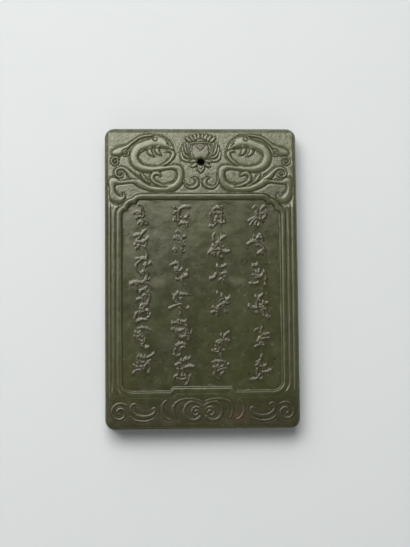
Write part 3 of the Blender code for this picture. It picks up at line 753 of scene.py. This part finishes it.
jade = {
    "deep": (0.025, 0.027, 0.007), "body": (0.036, 0.039, 0.009), "pale": (0.056, 0.062, 0.024),
    "cloud": (0.15, 0.148, 0.10), "olive": (0.050, 0.043, 0.008), "russet": (0.075, 0.036, 0.007),
    "film": (0.055, 0.046, 0.016), "shadeAndDirt": (0.020, 0.011, 0.004),
    # A paler tone for worn crests and figures, partly painted light, and for dust, partly a painted
    # sheen
    "wornAndLit": (0.122, 0.128, 0.066), "dustAndSheen": (0.155, 0.162, 0.09),
    "roughness": (0.18, 0.27),
    # Soft patches on the front: middle and size in millimetres, and strength
    "clouds": (((-9, -1), (3.2, 1.8), .4), ((7, -1), (2.6, 1.6), .42),
               ((-14, 6), (2.4, 4), .22), ((2, 10), (4, 2.4), .18)),
    "stains": (((7, -28), (4, 2.4), .75, "russet"), ((-6.8, 20.2), (1.7, 1.4), .3, "russet"),
               ((-16, -20), (5, 12), .5, "olive"), ((0, -31), (20, 2.2), .45, "olive")),
}


class NodeBench:
    def __init__(self, tree):
        self.tree = tree

    def add(self, kind, inputs=(), **settings):
        node = self.tree.nodes.new(kind)
        for name, value in settings.items():
            setattr(node, name, value)
        for name, value in dict(inputs).items():
            self.feed(node.inputs[name], value)
        return node

    def feed(self, socket, value):
        if isinstance(value, bpy.types.NodeSocket):
            self.tree.links.new(value, socket)
        elif isinstance(value, tuple) and len(value) == 3 and socket.type == "RGBA":
            socket.default_value = (*value, 1)
        else:
            socket.default_value = value

    def noise(self, place, scale, detail=3.0, roughness=0.5, distortion=0.0):
        return self.add("ShaderNodeTexNoise", {"Vector": place, "Scale": scale, "Detail": detail,
                                               "Roughness": roughness,
                                               "Distortion": distortion}).outputs["Fac"]

    def spread(self, value, start, end, low=0.0, high=1.0):
        return self.add("ShaderNodeMapRange",
                        {"Value": value, "From Min": start, "From Max": end, "To Min": low,
                         "To Max": high}, interpolation_type="SMOOTHSTEP").outputs["Result"]

    def maths(self, operation, first, second=0.5):
        return self.add("ShaderNodeMath", {0: first, 1: second}, operation=operation).outputs[0]

    def mix(self, share, first, second):
        node = self.add("ShaderNodeMix", data_type="RGBA")
        self.feed(node.inputs[0], share)
        self.feed(node.inputs[6], first)
        self.feed(node.inputs[7], second)
        return node.outputs[2]

    def attribute(self, name):
        return self.add("ShaderNodeAttribute", attribute_name=name).outputs["Fac"]

    # A soft round patch about a spot, its edge broken up by a noise
    def patch(self, place, spot, size, broken):
        centred = self.add("ShaderNodeMapping", {"Vector": place}, vector_type="TEXTURE")
        centred.inputs["Location"].default_value = (spot[0] * mm, spot[1] * mm, 5.5 * mm)
        centred.inputs["Scale"].default_value = (size[0] * mm, size[1] * mm, 3 * mm)
        reach = self.add("ShaderNodeVectorMath", {0: centred.outputs[0]},
                         operation="LENGTH").outputs["Value"]
        return self.spread(self.maths("ADD", reach, self.maths("MULTIPLY", broken, 1.1)), 1.45, .55)


def makeJade():
    material = bpy.data.materials.new("carvedJade")
    material.use_nodes = True
    tree = material.node_tree
    bench = NodeBench(tree)
    shader = tree.nodes["Principled BSDF"]
    place = bench.add("ShaderNodeTexCoord").outputs["Object"]
    grimeAndShade, wearAndSheen = bench.attribute("grimeAndShade"), bench.attribute("wearAndSheen")
    pebble, figure = bench.attribute("pebble"), bench.attribute("figure")
    matt = bench.attribute("matt")

    broad = bench.noise(place, 110, 5, 0.6, 0.6)
    fleck = bench.noise(place, 900, 4, 0.65)
    vein = bench.noise(place, 260, 6, 0.62, 1.6)
    colour = bench.mix(bench.spread(broad, .35, .68), jade["deep"], jade["body"])
    colour = bench.mix(bench.maths("MULTIPLY", bench.spread(vein, .48, .72), .7), colour, jade["pale"])
    colour = bench.mix(bench.maths("MULTIPLY", bench.spread(fleck, .5, .75), .35), colour, jade["pale"])
    colour = bench.mix(bench.maths("MULTIPLY", bench.spread(fleck, .45, .3), .4), colour, jade["deep"])

    # Pale clouds in the stone, russet stains and an olive skin at the left and the foot
    for spot, size, strength in jade["clouds"]:
        share = bench.maths("MULTIPLY", bench.patch(place, spot, size, vein), strength)
        colour = bench.mix(share, colour, jade["cloud"])
    for spot, size, strength, tint in jade["stains"]:
        share = bench.maths("MULTIPLY", bench.patch(place, spot, size, broad), strength)
        colour = bench.mix(share, colour, jade[tint])

    # Pits and pale specks
    speck = bench.noise(place, 1500, 2, .4)
    colour = bench.mix(bench.spread(speck, .68, .74), colour, jade["shadeAndDirt"])
    colour = bench.mix(bench.maths("MULTIPLY", bench.spread(speck, .3, .25), .5), colour, jade["cloud"])

    # Dusty, pitted ground whose pale dust is partly a painted sheen, crests and figures painted paler
    # with wear and painted light, a dull film on the cut sides, and dirt with painted shade in the
    # recesses
    dustAndSheenShare = bench.maths("MULTIPLY", pebble, bench.spread(fleck, .3, .62, .3, 1))
    share = bench.maths("MULTIPLY", dustAndSheenShare, bench.maths("SUBTRACT", 1, figure))
    colour = bench.mix(bench.maths("MULTIPLY", share, .6), colour, jade["dustAndSheen"])
    pits = bench.spread(bench.noise(place, 2700, 2, .55), .5, .68)
    colour = bench.mix(bench.maths("MULTIPLY", bench.maths("MULTIPLY", pits, pebble), .6),
                       colour, jade["deep"])
    # Figures and crests are painted paler towards a worn tone: wear, and painted light on their tops
    # and sides
    colour = bench.mix(bench.maths("MULTIPLY", figure, .32), colour, jade["wornAndLit"])
    colour = bench.mix(bench.maths("MULTIPLY", wearAndSheen, .5), colour, jade["wornAndLit"])
    colour = bench.mix(bench.maths("MULTIPLY", matt, .3), colour, jade["film"])
    # Dark brown dirt and painted shade in hollows, along seams and beside strokes
    grimeAndShadeShare = bench.maths("MULTIPLY", grimeAndShade, bench.spread(vein, .3, .6, .7, 1))
    colour = bench.mix(bench.maths("MULTIPLY", grimeAndShadeShare, .9), colour, jade["shadeAndDirt"])
    bench.feed(shader.inputs["Base Color"], colour)

    rough = bench.spread(bench.noise(place, 420, 4, .6), .3, .7, *jade["roughness"])
    rough = bench.maths("ADD", rough, bench.maths("MULTIPLY", grimeAndShadeShare, .04))
    rough = bench.maths("ADD", rough, bench.maths("MULTIPLY", figure, .02))
    rough = bench.maths("ADD", rough, bench.maths("MULTIPLY", matt, .3))
    bench.feed(shader.inputs["Roughness"], rough)

    grain = bench.maths("MULTIPLY", bench.noise(place, 3200, 3, .6), .12)
    lumps = bench.maths("MULTIPLY", bench.noise(place, 4600, 2, .6), share)
    swirl = bench.maths("MULTIPLY", bench.noise(place, 700, 3, .5), .3)
    surface = bench.maths("ADD", bench.maths("ADD", grain, bench.maths("MULTIPLY", lumps, 1.1)), swirl)
    bump = bench.add("ShaderNodeBump", {"Height": surface, "Strength": .55, "Distance": .00016})
    bench.feed(shader.inputs["Normal"], bump.outputs[0])
    shader.inputs["IOR"].default_value = 1.61
    shader.inputs["Specular Tint"].default_value = (1, 1, 0.85, 1)
    shader.inputs["Subsurface Weight"].default_value = 0.12
    shader.inputs["Subsurface Radius"].default_value = (1.0, 1.05, 0.6)
    shader.inputs["Subsurface Scale"].default_value = 0.0006
    return material


def makeFloorMaterial():
    material = bpy.data.materials.new("paleFloor")
    material.use_nodes = True
    bench = NodeBench(material.node_tree)
    shader = material.node_tree.nodes["Principled BSDF"]
    place = bench.add("ShaderNodeTexCoord").outputs["Object"]
    tone = bench.mix(bench.noise(place, 60, 3), (0.62, 0.64, 0.64), (0.64, 0.655, 0.655))
    bench.feed(shader.inputs["Base Color"], tone)
    shader.inputs["Roughness"].default_value = 0.75
    return material


# The plaque

piece = carvePlaque()
thinOut(piece)
piece.data.materials.clear()
piece.data.materials.append(makeJade())
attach(piece, "root")
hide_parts("plaque")
print("plaque finished")

# Floor, lights and camera

stage = {
    "floorSize": 3.0, "background": (0.86, 0.92, 0.95), "backgroundStrength": 0.2,
    # Tilt from straight above and turn from the top edge, in degrees, then distance and size in
    # metres, watts and colour
    "lights": (("softbox", 27, -25, 0.55, (0.42, 0.28), 3.0, (1, 0.99, 0.97)),
               ("window", 52, -30, 0.8, (0.8, 0.5), 1.5, (0.97, 0.99, 1)),
               ("fill", -50, 10, 0.8, (0.8, 0.4), 0.6, (1, 1, 0.98))),
}

bm = bmesh.new()
bmesh.ops.create_grid(bm, x_segments=1, y_segments=1, size=stage["floorSize"] / 2)
bmesh.ops.translate(bm, verts=bm.verts[:], vec=(0, 0, -0.00002))
floorMesh = bpy.data.meshes.new("floor")
bm.to_mesh(floorMesh)
bm.free()
floor = bpy.data.objects.new("floor", floorMesh)
bpy.context.collection.objects.link(floor)
floorMesh.materials.append(makeFloorMaterial())

world = bpy.data.worlds.new("softRoom")
world.use_nodes = True
sky = world.node_tree.nodes["Background"]
sky.inputs["Color"].default_value = (*stage["background"], 1)
sky.inputs["Strength"].default_value = stage["backgroundStrength"]
bpy.context.scene.world = world


def addSoftLight(name, tilt, turn, away, size, power, colour):
    lamp = bpy.data.lights.new(name, "AREA")
    lamp.shape = "RECTANGLE"
    lamp.size, lamp.size_y = size
    lamp.energy = power
    lamp.color = colour
    holder = bpy.data.objects.new(name, lamp)
    bpy.context.collection.objects.link(holder)
    a, b = math.radians(tilt), math.radians(turn)
    holder.location = (away * math.sin(a) * math.sin(b), away * math.sin(a) * math.cos(b),
                       away * math.cos(a))
    holder.rotation_euler = (-holder.location).to_track_quat("-Z", "Y").to_euler()


for light in stage["lights"]:
    addSoftLight(*light)

# Millimetres, and the twist in degrees
view = {"eye": (-12.58, -20.63, 244.70), "target": (0.592, 0.597, 6.0), "twist": 0.559,
        "lens": 78.5}
eye, target = Vector(view["eye"]) * mm, Vector(view["target"]) * mm
ahead = (target - eye).normalized()
upward = Vector((math.sin(math.radians(view["twist"])), math.cos(math.radians(view["twist"])), 0))
right = ahead.cross(upward).normalized()
over = right.cross(ahead)
camera = bpy.data.objects.new("camera", bpy.data.cameras.new("camera"))
camera.data.lens = view["lens"]
camera.data.clip_start, camera.data.clip_end = 0.005, 20
turn = Matrix((right, over, -ahead)).transposed().to_4x4()
turn.translation = eye
camera.matrix_world = turn
bpy.context.collection.objects.link(camera)
bpy.context.scene.camera = camera
bpy.context.scene.view_settings.view_transform = "Standard"
print("stage ready")
